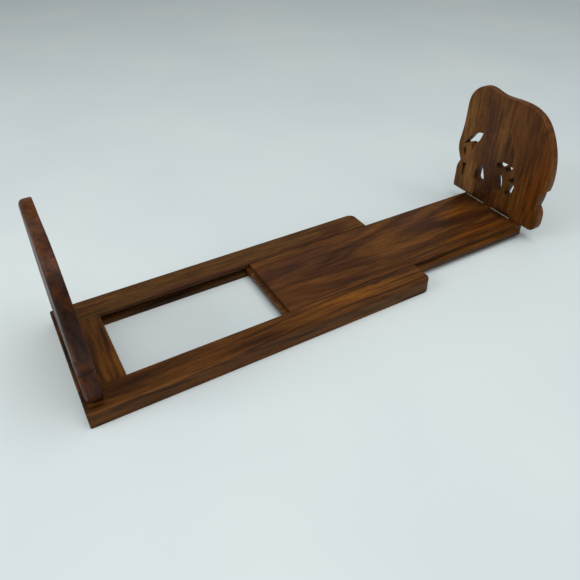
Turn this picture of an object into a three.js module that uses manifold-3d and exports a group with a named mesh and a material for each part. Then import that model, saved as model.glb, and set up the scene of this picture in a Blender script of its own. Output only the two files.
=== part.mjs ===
// Extending book stand: two grooved rails joined by a cross-piece and a batten, a board that
// slides between them, and two hinged elephant bookends that stand up or fold flat inwards.
// Millimetres, +Z up. X runs along the stand, from the fixed end to the sliding end.
// The pieces are laid out from the fixed end of the rails, and the whole group is then
// centred, so the origin is the middle of the resting stand, on the table.

import * as THREE from 'three';
import { mergeVertices } from 'three/addons/utils/BufferGeometryUtils.js';
import Module from 'manifold-3d';

const wasm = await Module();
wasm.setup();

// ---------------------------------------------------------------- driving dimensions
const BASE_WIDTH = 130;          // across the two rails
const RAIL_LENGTH = 310;
const RAIL_WIDTH = 25;
const RAIL_THICKNESS = 14.2;     // table to the top of the rails, board and cross-piece
const RAIL_CORNER = 7;           // rounded outer corner at the open end of each rail

const GROOVE_DEPTH = 5;
const GROOVE_LOW = 4.3;
const GROOVE_HIGH = 9.9;

const TONGUE_PLAY = 0.3;         // above and below a tongue in its groove
const FIXED_GAP = 0.3;           // between glued or screwed neighbours

const CROSS_LENGTH = 36;
const CROSS_SCREW_X = [9, 27];
const CROSS_SCREW_Y = 42.6;

const BOARD_START = 177;         // left end of the sliding board's top face
const BOARD_END = 457;
const BOARD_SIDE_PLAY = 0.5;
const BOARD_CORNER = 8;
const TONGUE_SIDE = 4.5;         // how far the board's tongue stands out at each side
const TONGUE_FRONT = 3.5;        // and in front of its left end
const TONGUE_END = 445.5;        // the side tongues stop under the bookend's inner face

const BATTEN_START = 280;
const BATTEN_LENGTH = 20;
const BATTEN_THICKNESS = 4;
const BATTEN_HOUSED = 12;        // how far the batten reaches under each rail
const BATTEN_SCREW_X = [5, 15];  // from the batten's edge
const BATTEN_SCREW_Y = 48.5;

const BOOKEND_FOOT_THICKNESS = 12.5;
const BOOKEND_TOP_THICKNESS = 9.5;
const BOOKEND_FOOT_HEIGHT = 25;  // full thickness up to here, then a taper
const BOOKEND_HEIGHT = 119.1;
const BOOKEND_LIFT = 0.4;        // gap between a standing bookend and the wood under it
const LEFT_INNER_FACE = 15.5;
const RIGHT_INNER_FACE = 445.5;

const HINGE_CENTRES = [22, -14.5];
const HINGE_LENGTH = 26;
const KNUCKLES = 5;
const KNUCKLE_GAP = 0.25;
const BARREL_RADIUS = 1.4;
const BORE_RADIUS = 0.75;
const PIN_RADIUS = 0.65;
const LEAF_THICKNESS = 0.9;
const LEAF_INNER = 1.75;         // nearest edge of a leaf's plate to the pin's axis
const LEAF_OUTER = 9.5;
const AXIS_ABOVE_TOP = 0.2;      // pin axis above the rails' top
const AXIS_TO_FACE = 0.4;        // pin axis in front of the bookend's inner face
const BARREL_CLEARANCE = 0.35;
const MORTISE_PLAY = 0.1;
const HINGE_SCREW_SPREAD = 8;    // each screw's distance from the middle of its leaf

const HINGE_SCREW = { head: 1.7, shank: 0.75, headDepth: 0.8, length: 6, tip: 1 };
const WOOD_SCREW = { head: 2, shank: 1, headDepth: 1, length: 12, tip: 1.2 };
const STOP_SCREW = { head: 3, shank: 1.1, headHeight: 2.1, length: 6, tip: 1, x: 191 };
const DRIVER_SLOT = { half: 0.2, depth: 0.35 };
const STOP_SLOT = { half: 0.3, depth: 0.6 };
const SCREW_PLAY = 0.1;
const SCREW_SINK = 0.2;          // screw heads end this far inside the surface

const ROUND_STEPS = 16;          // facets of barrels and bores
const SCREW_STEPS = 10;
const CORNER_STEPS = 6;
const CURVE_STEPS = 3;           // facets between two outline points
const OVERCUT = 1;               // how far a cutting tool reaches past the surface that it opens

// ---------------------------------------------------------------- derived dimensions
const TOTAL_LENGTH = RIGHT_INNER_FACE + BOOKEND_FOOT_THICKNESS;
const HALF_WIDTH = BASE_WIDTH / 2;
const RAIL_INNER = HALF_WIDTH - RAIL_WIDTH;
const GROOVE_WALL = RAIL_INNER + GROOVE_DEPTH;
const TONGUE_LOW = GROOVE_LOW + TONGUE_PLAY;
const TONGUE_HIGH = GROOVE_HIGH - TONGUE_PLAY;
const BOARD_HALF = RAIL_INNER - BOARD_SIDE_PLAY;
const AXIS_Z = RAIL_THICKNESS + AXIS_ABOVE_TOP;
const BOOKEND_BOTTOM = RAIL_THICKNESS + BOOKEND_LIFT;
const LEAF_LOW = -AXIS_ABOVE_TOP - LEAF_THICKNESS;

// ---------------------------------------------------------------- materials
const wood = (color, roughness) => new THREE.MeshStandardMaterial({ color, roughness, metalness: 0 });
const RAIL_WOOD = wood(0x5a2f17, 0.42);
const CROSS_WOOD = wood(0x7d5422, 0.45);
const BOARD_WOOD = wood(0x4a2010, 0.38);
const BOOKEND_WOOD = wood(0x6a3a18, 0.42);
const BRASS = new THREE.MeshStandardMaterial({ color: 0xb59a5c, roughness: 0.35, metalness: 1 });

// ---------------------------------------------------------------- solids
function solid(geometry) {
  const bare = geometry.clone();
  bare.deleteAttribute('normal');
  bare.deleteAttribute('uv');
  const merged = mergeVertices(bare, 1e-4);
  return new wasm.Manifold(new wasm.Mesh({
    numProp: 3,
    vertProperties: new Float32Array(merged.attributes.position.array),
    triVerts: new Uint32Array(merged.index.array),
  }));
}

function joined(pieces) {
  return pieces.reduce((sum, piece) => sum.add(piece));
}

function cut(body, tools) {
  return tools.reduce((rest, tool) => rest.subtract(tool), body);
}

function named(name, body, material) {
  const { vertProperties, triVerts } = body.getMesh();
  const geometry = new THREE.BufferGeometry();
  geometry.setAttribute('position', new THREE.BufferAttribute(new Float32Array(vertProperties), 3));
  geometry.setIndex(new THREE.BufferAttribute(new Uint32Array(triVerts), 1));
  geometry.computeVertexNormals();
  const mesh = new THREE.Mesh(geometry, material);
  mesh.name = name;
  return mesh;
}

function block(x0, x1, y0, y1, z0, z1) {
  const geometry = new THREE.BoxGeometry(x1 - x0, y1 - y0, z1 - z0);
  return solid(geometry.translate((x0 + x1) / 2, (y0 + y1) / 2, (z0 + z1) / 2));
}

// A flat outline in X and Y, standing from z0 to z1.
function upright(shape, z0, z1) {
  const geometry = new THREE.ExtrudeGeometry(shape, { depth: z1 - z0, bevelEnabled: false });
  return solid(geometry.translate(0, 0, z0));
}

// A flat outline in Y and Z, running from x0 to x1.
function lengthways(shape, x0, x1) {
  const settings = { depth: x1 - x0, bevelEnabled: false, curveSegments: CURVE_STEPS };
  const geometry = new THREE.ExtrudeGeometry(shape, settings);
  const turn = new THREE.Matrix4().makeBasis(
    new THREE.Vector3(0, 1, 0), new THREE.Vector3(0, 0, 1), new THREE.Vector3(1, 0, 0));
  return solid(geometry.applyMatrix4(turn).translate(x0, 0, 0));
}

// A round bar along Y, centred on the given X and Z.
function barAlongY(radius, y0, y1, steps, x = 0, z = 0) {
  const geometry = new THREE.CylinderGeometry(radius, radius, y1 - y0, steps);
  return solid(geometry.translate(x, (y0 + y1) / 2, z));
}

// A turned piece about the Z axis; the profile is a list of [radius, z] from low to high.
function turned(profile, x = 0, y = 0) {
  const points = profile.map(([radius, z]) => new THREE.Vector2(radius, z));
  const geometry = new THREE.LatheGeometry(points, SCREW_STEPS).rotateX(Math.PI / 2);
  return solid(geometry.translate(x, y, 0));
}

// ---------------------------------------------------------------- screws
// A countersunk wood screw whose head is at the bottom, z = 0, pointing up.
function countersunkScrew(size, name) {
  const body = turned([
    [0, 0], [size.head, 0], [size.shank, size.headDepth],
    [size.shank, size.length - size.tip], [0, size.length],
  ]);
  const { half, depth } = DRIVER_SLOT;
  const slot = block(-size.head, size.head, -half, half, -OVERCUT, depth);
  return named(name, cut(body, [slot]), BRASS);
}

// The hole that such a screw leaves, with its mouth open below z = -SCREW_SINK.
function screwHole(size, x, y, z, up) {
  const play = SCREW_PLAY;
  const mouth = size.head + play;
  const profile = [
    [0, -SCREW_SINK - OVERCUT], [mouth, -SCREW_SINK - OVERCUT], [mouth, 0],
    [size.shank + play, size.headDepth + play], [size.shank + play, size.length + play],
    [0, size.length + play],
  ];
  const facing = profile.map(([radius, height]) => [radius, up ? height : -height]);
  if (!up) facing.reverse();
  return turned(facing, x, y).translate(0, 0, z);
}

// ---------------------------------------------------------------- hinge
// The hinge's own frame: pin along Y, panel side at +Z, leaves reaching towards +X.
const KNUCKLE_LENGTH = (HINGE_LENGTH - (KNUCKLES - 1) * KNUCKLE_GAP) / KNUCKLES;
const LEAF_SCREW_X = (LEAF_INNER + LEAF_OUTER) / 2;
const LEAF_SCREWS = [-HINGE_SCREW_SPREAD, HINGE_SCREW_SPREAD].map((y) => ({ x: LEAF_SCREW_X, y }));

function knuckle(index) {
  const start = -HINGE_LENGTH / 2 + index * (KNUCKLE_LENGTH + KNUCKLE_GAP);
  const end = start + KNUCKLE_LENGTH;
  const barrel = barAlongY(BARREL_RADIUS, start, end, ROUND_STEPS);
  const bridge = block(BORE_RADIUS + 0.05, LEAF_INNER + 0.1, start, end, LEAF_LOW, -AXIS_ABOVE_TOP);
  return barrel.add(bridge);
}

// The leaf that lies in the wood below the pin; the bookend's leaf is the same, turned over.
function lowerLeaf(name, knuckles) {
  const half = HINGE_LENGTH / 2;
  const plate = block(LEAF_INNER, LEAF_OUTER, -half, half, LEAF_LOW, -AXIS_ABOVE_TOP);
  const bore = barAlongY(BORE_RADIUS, -HINGE_LENGTH, HINGE_LENGTH, ROUND_STEPS);
  const holes = LEAF_SCREWS.map(({ x, y }) => leafScrewHole(x, y));
  return named(name, cut(joined([plate, ...knuckles.map(knuckle)]), [bore, ...holes]), BRASS);
}

function leafScrewHole(x, y) {
  return screwHole(HINGE_SCREW, x, y, -AXIS_ABOVE_TOP - SCREW_SINK / 4, false);
}

function hinge(side, place, x, y) {
  const group = new THREE.Group();
  const prefix = `${side}_hinge_${place}`;
  const base = lowerLeaf(`${prefix}_base_leaf`, [0, 2, 4]);
  const panel = lowerLeaf(`${prefix}_bookend_leaf`, [1, 3]);
  panel.rotation.x = Math.PI;
  const pin = named(`${prefix}_pin`,
    barAlongY(PIN_RADIUS, -HINGE_LENGTH / 2, HINGE_LENGTH / 2, SCREW_STEPS), BRASS);
  group.add(base, panel, pin);
  LEAF_SCREWS.forEach((spot, index) => {
    const height = AXIS_ABOVE_TOP + SCREW_SINK / 4;
    const down = countersunkScrew(HINGE_SCREW, `${prefix}_base_screw_${index + 1}`);
    down.rotation.x = Math.PI;
    down.position.set(spot.x, spot.y, -height);
    const up = countersunkScrew(HINGE_SCREW, `${prefix}_bookend_screw_${index + 1}`);
    up.position.set(spot.x, spot.y, height);
    group.add(down, up);
  });
  group.position.set(x, y, AXIS_Z);
  if (side === 'left') group.rotation.z = Math.PI;
  return group;
}

// What a hinge takes out of the wood: up is +1 for the bookend and -1 for the wood below it,
// and outward is the X direction in which the leaves reach.
function hingeRecess(axisX, centreY, outward, up) {
  const half = HINGE_LENGTH / 2 + MORTISE_PLAY;
  const [low, high] = [centreY - half, centreY + half];
  const sweep = barAlongY(BARREL_RADIUS + BARREL_CLEARANCE, low, high, ROUND_STEPS, axisX, AXIS_Z);
  const far = axisX + outward * (LEAF_OUTER + MORTISE_PLAY);
  const deep = AXIS_Z + up * (AXIS_ABOVE_TOP + LEAF_THICKNESS + MORTISE_PLAY);
  const open = AXIS_Z - up * 0.1;
  const mortise = block(Math.min(axisX, far), Math.max(axisX, far), low, high,
    Math.min(deep, open), Math.max(deep, open));
  const holes = LEAF_SCREWS.map(({ x, y }) => screwHole(
    HINGE_SCREW, axisX + outward * x, centreY + outward * y,
    AXIS_Z + up * (AXIS_ABOVE_TOP + SCREW_SINK / 4), up > 0));
  return [sweep, mortise, ...holes];
}

const LEFT_AXIS = LEFT_INNER_FACE + AXIS_TO_FACE;
const RIGHT_AXIS = RIGHT_INNER_FACE - AXIS_TO_FACE;
const hingeRecesses = (axisX, outward, up) =>
  HINGE_CENTRES.flatMap((y) => hingeRecess(axisX, y, outward, up));

// ---------------------------------------------------------------- base frame
const bothSides = (x, y) => [{ x, y: -y }, { x, y }];
const CROSS_SCREWS = CROSS_SCREW_X.flatMap((x) => bothSides(x, CROSS_SCREW_Y));
const BATTEN_SCREWS = BATTEN_SCREW_X.flatMap((x) => bothSides(BATTEN_START + x, BATTEN_SCREW_Y));
const fromBelow = ({ x, y }) => screwHole(WOOD_SCREW, x, y, SCREW_SINK, true);

function rail(name, side) {
  const outline = new THREE.Shape();
  outline.moveTo(0, RAIL_INNER);
  outline.lineTo(RAIL_LENGTH, RAIL_INNER);
  outline.lineTo(RAIL_LENGTH, HALF_WIDTH - RAIL_CORNER);
  outline.absarc(RAIL_LENGTH - RAIL_CORNER, HALF_WIDTH - RAIL_CORNER, RAIL_CORNER, 0, Math.PI / 2, false);
  outline.lineTo(0, HALF_WIDTH);
  const across = (y0, y1) => [Math.min(side * y0, side * y1), Math.max(side * y0, side * y1)];
  const grooveSpan = across(RAIL_INNER - OVERCUT, GROOVE_WALL);
  const housingSpan = across(RAIL_INNER - OVERCUT, RAIL_INNER + BATTEN_HOUSED);
  const groove = block(-OVERCUT, RAIL_LENGTH + OVERCUT, ...grooveSpan, GROOVE_LOW, GROOVE_HIGH);
  const housing = block(BATTEN_START - FIXED_GAP, BATTEN_START + BATTEN_LENGTH + FIXED_GAP,
    ...housingSpan, -OVERCUT, BATTEN_THICKNESS + FIXED_GAP);
  const points = outline.getPoints(CORNER_STEPS).map((point) => new THREE.Vector2(point.x, side * point.y));
  const stick = upright(new THREE.Shape(points), 0, RAIL_THICKNESS);
  const screws = [...CROSS_SCREWS, ...BATTEN_SCREWS].filter(({ y }) => y * side > 0).map(fromBelow);
  return named(name, cut(stick, [groove, housing, ...screws]), RAIL_WOOD);
}

function crossPiece() {
  const half = RAIL_INNER - FIXED_GAP;
  const tongue = GROOVE_WALL - FIXED_GAP;
  const body = joined([
    block(0, CROSS_LENGTH, -half, half, 0, RAIL_THICKNESS),
    block(0, CROSS_LENGTH, -tongue, tongue, TONGUE_LOW, TONGUE_HIGH),
  ]);
  const tools = [...CROSS_SCREWS.map(fromBelow), ...hingeRecesses(LEFT_AXIS, -1, -1)];
  return named('cross_piece', cut(body, tools), CROSS_WOOD);
}

function tieBatten() {
  const reach = RAIL_INNER + BATTEN_HOUSED - FIXED_GAP;
  const body = block(BATTEN_START, BATTEN_START + BATTEN_LENGTH, -reach, reach, 0, BATTEN_THICKNESS);
  return named('tie_batten', cut(body, BATTEN_SCREWS.map(fromBelow)), RAIL_WOOD);
}

function screwsFromBelow(prefix, spots) {
  return spots.map(({ x, y }, index) => {
    const screw = countersunkScrew(WOOD_SCREW, `${prefix}_${index + 1}`);
    screw.position.set(x, y, SCREW_SINK);
    return screw;
  });
}

// ---------------------------------------------------------------- sliding board
function sliderBoard() {
  const top = new THREE.Shape();
  const cornerX = BOARD_END - BOARD_CORNER;
  const cornerY = BOARD_HALF - BOARD_CORNER;
  top.moveTo(BOARD_START, -BOARD_HALF);
  top.lineTo(cornerX, -BOARD_HALF);
  top.absarc(cornerX, -cornerY, BOARD_CORNER, -Math.PI / 2, 0, false);
  top.lineTo(BOARD_END, cornerY);
  top.absarc(cornerX, cornerY, BOARD_CORNER, 0, Math.PI / 2, false);
  top.lineTo(BOARD_START, BOARD_HALF);
  const reach = BOARD_HALF + TONGUE_SIDE;
  const body = joined([
    upright(top, TONGUE_LOW, RAIL_THICKNESS),
    block(BOARD_START - TONGUE_FRONT, TONGUE_END, -reach, reach, TONGUE_LOW, TONGUE_HIGH),
  ]);
  const holeRadius = STOP_SCREW.shank + SCREW_PLAY;
  const [holeLow, holeHigh] = [TONGUE_LOW - OVERCUT, TONGUE_LOW + STOP_SCREW.length];
  const stopHole = turned(
    [[0, holeLow], [holeRadius, holeLow], [holeRadius, holeHigh], [0, holeHigh]], STOP_SCREW.x, 0);
  return named('slider_board', cut(body, [stopHole, ...hingeRecesses(RIGHT_AXIS, 1, -1)]), BOARD_WOOD);
}

// A round-headed screw under the board; its head meets the batten before the board leaves the rails.
function stopScrew() {
  const { head, headHeight, shank, length, tip } = STOP_SCREW;
  const seat = TONGUE_LOW - SCREW_PLAY;
  const low = seat - headHeight;
  const dome = [0, 1, 2].map((step) => step * Math.PI / 6).map((angle) => [
    head * (0.6 + 0.4 * Math.sin(angle * 1.5)), low + headHeight * 0.65 * (1 - Math.cos(angle * 1.5))]);
  const profile = [
    [0, low], ...dome, [head, seat], [shank, seat], [shank, seat + length - tip], [0, seat + length],
  ];
  const slot = block(-head - OVERCUT, head + OVERCUT, -STOP_SLOT.half, STOP_SLOT.half,
    low - OVERCUT, low + STOP_SLOT.depth);
  const screw = named('slider_stop_screw', cut(turned(profile), [slot]), BRASS);
  screw.position.x = STOP_SCREW.x;
  return screw;
}

// ---------------------------------------------------------------- bookends
// The elephant stands side on, head at +Y. Points are [across, height above the bottom edge].
const HEAD_AND_BACK = [
  [55, 33], [57.8, 38], [60.4, 44.5], [60.9, 52.5], [59.2, 63], [57.9, 74], [57.4, 86], [56.9, 98],
  [54.2, 106.3], [49.2, 112.5], [42.3, 117.1], [35, 119], [27.5, 118.4], [21, 117], [14.2, 116.1], [6, 116.3],
  [-4, 117], [-14, 117.1], [-24, 115.7], [-33.4, 112], [-41, 106.2], [-47.4, 98], [-52.8, 88],
  [-56.8, 77], [-59, 65.5], [-59.6, 54.5], [-58.6, 45],
];
const HIND_LEG = [[-55.2, 42.2], [-54.5, 35], [-52.6, 26]];
const HIND_FOOT = [[-54.6, 23.6], [-56.9, 19.6], [-57.9, 13], [-57.7, 5.6], [-55.6, 1.5], [-51.4, 0]];
const FRONT_FOOT = [[58.7, 24.5], [56.6, 29.6], [55, 33]];
const FRONT_TOE = { y: 58.9, eased: 0.9 };

// The pierced gaps, each a closed run of curves that meet at its sharp tips.
const TRUNK_GAP = [
  [[30.1, 72], [35.3, 70.9], [40.7, 68], [44.9, 64], [48.3, 59.2], [53.5, 52.6]],
  [[53.5, 52.6], [49.3, 54.7], [45.3, 56.4], [43.1, 55.6], [41, 47.4]],
  [[41, 47.4], [39.4, 55.6], [36.2, 59.4], [32.9, 64.4], [30.1, 72]],
];
const MOUTH_GAP = [
  [[51.1, 49.6], [49.5, 47], [49.3, 43], [50.7, 39.6], [52.5, 42.2], [52.9, 46], [51.1, 49.6]],
];
const TRUNK_FOOT_GAP = [
  [[45.3, 31.6], [48.5, 31.4], [50.9, 29.8], [50.3, 23.8], [49.7, 16]],
  [[49.7, 16], [48.1, 16.8], [47.3, 23.4], [46.5, 28.4], [45.3, 31.6]],
];
const FRONT_LEG_GAP = [
  [[22.3, 39.2], [20.3, 33.4], [18.3, 28.4], [17.3, 24], [19.1, 20.8], [23.5, 20], [29.3, 20.1],
    [30, 25.4], [29.1, 31.4], [26, 36.4], [22.3, 39.2]],
];
const BELLY_GAP_TALL = [
  [[-4.3, 39.8], [-6.4, 34.4], [-7.2, 28.4], [-6.3, 22.4], [-3.4, 20.4], [-0.1, 21], [1.4, 26.4],
    [2.9, 32.8], [0.7, 37.2], [-4.3, 39.8]],
];
const BELLY_GAP_TOP = [
  [[-9.3, 53.7], [-3.9, 53.4], [0.7, 51.8], [4.1, 49], [4.3, 46.4], [2.5, 45]],
  [[2.5, 45], [-0.9, 46.8], [-4.5, 49.2], [-7.3, 51.4], [-9.3, 53.7]],
];
const BELLY_GAP_BACK = [
  [[-16.1, 52.6], [-12.9, 52.6], [-9.9, 50.8], [-7.5, 48.4], [-6.9, 46.4]],
  [[-6.9, 46.4], [-9.1, 45.2], [-12.3, 47.4], [-14.9, 50.2], [-16.1, 52.6]],
];
const BELLY_GAP_SMALL = [
  [[-21.7, 43.8], [-19.7, 43.6], [-17.1, 41.2], [-14.3, 39]],
  [[-14.3, 39], [-15.7, 36.6], [-18.3, 36.8], [-21.1, 39.8], [-21.7, 43.8]],
];
const HIND_LEG_GAP = [
  [[-21.5, 37.4], [-18.5, 35.4], [-15.7, 31], [-13.5, 25.6], [-12.3, 21.4]],
  [[-12.3, 21.4], [-15.1, 20.3], [-18.3, 22], [-20.2, 26], [-21.8, 30.4], [-22.5, 34.4], [-21.5, 37.4]],
];
const GAPS = [
  TRUNK_GAP, MOUTH_GAP, TRUNK_FOOT_GAP, FRONT_LEG_GAP, BELLY_GAP_TALL,
  BELLY_GAP_TOP, BELLY_GAP_BACK, BELLY_GAP_SMALL, HIND_LEG_GAP,
];

const raised = ([y, height]) => new THREE.Vector2(y, height + BOOKEND_BOTTOM);

// Adds each run of points as a smooth curve; every run starts where the one before it ends.
function curvedPath(path, runs) {
  path.moveTo(...raised(runs[0][0]).toArray());
  runs.forEach((run) => path.splineThru(run.slice(1).map(raised)));
  return path;
}

function elephantOutline() {
  const outline = curvedPath(new THREE.Shape(), [FRONT_FOOT, HEAD_AND_BACK]);
  for (const run of [HIND_LEG, HIND_FOOT]) {
    outline.lineTo(...raised(run[0]).toArray());
    outline.splineThru(run.slice(1).map(raised));
  }
  outline.lineTo(FRONT_TOE.y - FRONT_TOE.eased, BOOKEND_BOTTOM);
  outline.lineTo(FRONT_TOE.y, BOOKEND_BOTTOM + FRONT_TOE.eased);
  outline.holes = GAPS.map((runs) => curvedPath(new THREE.Path(), runs));
  return outline;
}

function bookend(name, innerFace, outward) {
  const outerFace = innerFace + outward * BOOKEND_FOOT_THICKNESS;
  const topFace = innerFace + outward * BOOKEND_TOP_THICKNESS;
  const low = BOOKEND_BOTTOM + BOOKEND_FOOT_HEIGHT;
  const high = BOOKEND_BOTTOM + BOOKEND_HEIGHT + OVERCUT;
  const [near, far] = [Math.min(innerFace, outerFace), Math.max(innerFace, outerFace)];
  const slab = lengthways(elephantOutline(), near, far);
  const wedge = new THREE.Shape([
    new THREE.Vector2(outerFace, low), new THREE.Vector2(outerFace + outward, low),
    new THREE.Vector2(outerFace + outward, high), new THREE.Vector2(topFace, high),
  ]);
  const planed = new THREE.ExtrudeGeometry(wedge, { depth: BASE_WIDTH, bevelEnabled: false });
  planed.rotateX(Math.PI / 2).translate(0, HALF_WIDTH, 0);
  const recesses = hingeRecesses(innerFace - outward * AXIS_TO_FACE, outward, 1);
  return named(name, cut(slab, [solid(planed), ...recesses]), BOOKEND_WOOD);
}

// ---------------------------------------------------------------- assembly
const stand = new THREE.Group();
stand.add(
  rail('near_rail', -1),
  rail('far_rail', 1),
  crossPiece(),
  tieBatten(),
  ...screwsFromBelow('cross_screw', CROSS_SCREWS),
  ...screwsFromBelow('batten_screw', BATTEN_SCREWS),
  sliderBoard(),
  stopScrew(),
  bookend('left_bookend', LEFT_INNER_FACE, -1),
  bookend('right_bookend', RIGHT_INNER_FACE, 1),
);
for (const [side, axisX] of [['left', LEFT_AXIS], ['right', RIGHT_AXIS]]) {
  ['far', 'near'].forEach((place, index) => stand.add(hinge(side, place, axisX, HINGE_CENTRES[index])));
}
stand.position.x = -TOTAL_LENGTH / 2;

export default stand;
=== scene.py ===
"""Looks of an extending rosewood book stand with two carved elephant bookends.

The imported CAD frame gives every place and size. Own lengths are in millimetres and become metres
in the last step, when a mesh is made. Every piece is rebuilt here, with eased edges, carved faces
and fine curves; each one replaces its CAD node and rides on the same body.
"""

import math

import bmesh
import bpy
import numpy as np
from mathutils import Matrix, Vector
from mathutils.geometry import delaunay_2d_cdt


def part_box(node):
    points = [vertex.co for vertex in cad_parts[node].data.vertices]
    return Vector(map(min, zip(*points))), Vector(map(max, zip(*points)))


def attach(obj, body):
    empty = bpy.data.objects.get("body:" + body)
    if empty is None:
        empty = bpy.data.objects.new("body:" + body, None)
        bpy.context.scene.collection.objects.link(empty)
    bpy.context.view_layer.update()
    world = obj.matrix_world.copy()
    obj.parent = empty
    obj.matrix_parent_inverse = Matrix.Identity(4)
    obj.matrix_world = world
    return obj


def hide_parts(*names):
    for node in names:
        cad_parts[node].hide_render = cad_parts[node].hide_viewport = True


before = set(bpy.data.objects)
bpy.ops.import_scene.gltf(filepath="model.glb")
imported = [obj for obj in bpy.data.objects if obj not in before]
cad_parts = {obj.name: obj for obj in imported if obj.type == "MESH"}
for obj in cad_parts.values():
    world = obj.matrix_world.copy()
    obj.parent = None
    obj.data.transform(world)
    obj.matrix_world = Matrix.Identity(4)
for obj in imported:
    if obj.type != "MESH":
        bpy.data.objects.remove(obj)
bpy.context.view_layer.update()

MM = 0.001

# -------- sizes (mm, angles in degrees)
NEAR = 0.01             # two places closer than this are the same
PAST = 1.0              # how far a cutter reaches past what it cuts

RAIL_CORNER = 7.0       # rounded outer corner of each rail's open end
BOARD_CORNER = 8.0      # and of the board's right end
CORNER_STEPS = 10       # straight steps in each of these corners
GROOVE_DEPTH = 5.0
GROOVE_HEIGHT = 5.6
TONGUE_PLAY = 0.3       # above and below a tongue in its groove
TONGUE_FRONT = 3.5      # how far the board's tongue stands out past its left end
BATTEN_PLAY = 0.3       # round the tie batten in the rails
CROSS_PLAY = 0.3        # between the cross-piece and each rail
BOARD_PLAY = 0.5        # between the board and each rail

END_ARRIS = 2.0         # rounded top edge at the fixed end
TOP_ARRIS = 1.1         # the other long top edges
WELL_ARRIS = 0.66       # the cross-piece's top edge beside the open well
FINE_ARRIS = 0.45       # grooves, tongues and undersides
CROSS_ARRIS = 0.25      # the cross-piece's other edges
INNER_ARRIS = 0.7       # round a bookend's inner face
ARRIS_STEPS = 4
MERGE_DISTANCE = 1e-6   # in metres, when a mesh's points are merged
FLAT_ANGLE = 1          # faces as flat to each other as this become one before easing
SHARP_ANGLE = 30        # only edges sharper than this are eased
WOOD_SMOOTH = 35        # edges flatter than this are shaded smooth on the plain wooden pieces,
METAL_SMOOTH = 32       # on the metal pieces
CARVED_SMOOTH = 50      # and on the bookends

FOOT_THICKNESS = 12.5   # of a bookend, up to FOOT_HEIGHT
TOP_THICKNESS = 9.5
FOOT_HEIGHT = 25.0
BOOKEND_HEIGHT = 119.1
CARVED_RADIUS = 4.0     # rounding of a bookend's outer face towards its outline
GAP_RADIUS = 4.5        # and towards its pierced gaps

BARREL_RADIUS = 1.4
BARREL_CLEARANCE = 0.35  # round a barrel, in the wood
BARREL_CHAMFER = 0.15
BARREL_STEPS = 32
BORE_RADIUS = 0.75
BORE_STEPS = 24
BRIDGE_PLAY = 0.05      # between the bore and the metal that joins a knuckle to its leaf
BRIDGE_OVERLAP = 0.1    # of that metal with the leaf
MORTISE_PLAY = 0.1      # round a leaf, in the wood
KNUCKLES = 5
KNUCKLE_GAP = 0.25
LEAF_FROM_AXIS = 1.75
LEAF_TO_AXIS = 0.2      # gap between the pin's axis and the near face of each leaf
LEAF_THICKNESS = 0.9

HOLE_STEPS = 16
HOLE_PLAY = 0.1         # round a screw and past its tip
HOLE_START = -1.5       # the cutter's end outside the wood
HOLE_SHANK = 0.47       # hole along the shank, as a share of the head's radius
SINK_DEPTH = 0.5        # depth of a countersunk head, as a share of its radius
SCREW_STEPS = 28
SCREW_SHANK = 0.44      # as a share of the head's radius
HEAD_EDGE = (0.05, 0.06)  # chamfer across and down
SLOT_HALF = 0.11        # half width of a driver slot, as a share of the head's radius
SLOT_DEPTH = 0.2        # and its depth
THREAD_PITCH = 0.9
THREAD_TURNS = 4        # at least
THREAD_START = 0.35     # as shares of the screw's length
THREAD_END = 0.82
TIP_START = 0.92
THREAD_ROOT = 0.74      # as shares of the shank's radius
TIP_RADIUS = 0.5
THREAD_VALLEY = (0.3, 0.6)  # where the thread's root starts and ends, as shares of the pitch

STOP_HEAD_HEIGHT = 2.1  # the screw under the board
STOP_DOME = 0.7         # share of its head that is domed
STOP_SHANK = 1.1
STOP_TIP = 1.0
STOP_SLOT_HALF = 0.3
STOP_SLOT_DEPTH = 0.6


# -------- frame
def box_mm(node):
    """The two corners of a CAD node, in millimetres."""
    low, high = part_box(node)
    return low / MM, high / MM


def centre_mm(node):
    """The middle of a CAD node, in millimetres."""
    return [(a + b) / 2 for a, b in zip(*box_mm(node))]


def nodes_named(*parts):
    """The CAD nodes whose names hold all these parts, in name order."""
    return sorted(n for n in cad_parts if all(part in n for part in parts))


BASE_X = box_mm("near_rail")[0].x   # the fixed end, from which patches and the camera are placed


# -------- meshes
def new_object(name, vertices, faces):
    """A linked mesh object from vertices in millimetres."""
    mesh = bpy.data.meshes.new(name)
    mesh.from_pydata([tuple(c * MM for c in v) for v in vertices], [], faces)
    mesh.update()
    obj = bpy.data.objects.new(name, mesh)
    bpy.context.scene.collection.objects.link(obj)
    return obj


def prism(name, outline, low, high):
    """A closed upright prism over a flat anticlockwise outline, from low to high."""
    count = len(outline)
    vertices = [(x, y, z) for z in (low, high) for x, y in outline]
    sides = [(i, (i + 1) % count, count + (i + 1) % count, count + i) for i in range(count)]
    faces = [tuple(reversed(range(count))), tuple(range(count, 2 * count)), *sides]
    return new_object(name, vertices, faces)


def block(name, low, high):
    """A plain box between two corners."""
    outline = [(low[0], low[1]), (high[0], low[1]), (high[0], high[1]), (low[0], high[1])]
    return prism(name, outline, low[2], high[2])


def bake_modifiers(obj):
    """Turns an object's modifiers into plain mesh."""
    evaluated = obj.evaluated_get(bpy.context.evaluated_depsgraph_get())
    mesh = bpy.data.meshes.new_from_object(evaluated)
    obj.modifiers.clear()
    old, obj.data = obj.data, mesh
    bpy.data.meshes.remove(old)
    return obj


def boolean(obj, tools, operation="DIFFERENCE"):
    """Cuts the tools out of obj, or joins them to it, and removes them."""
    for tool in tools:
        modifier = obj.modifiers.new("boolean", "BOOLEAN")
        modifier.operation = operation
        modifier.solver = "EXACT"
        modifier.object = tool
        bake_modifiers(obj)
        bpy.data.objects.remove(tool)
    return obj


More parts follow.
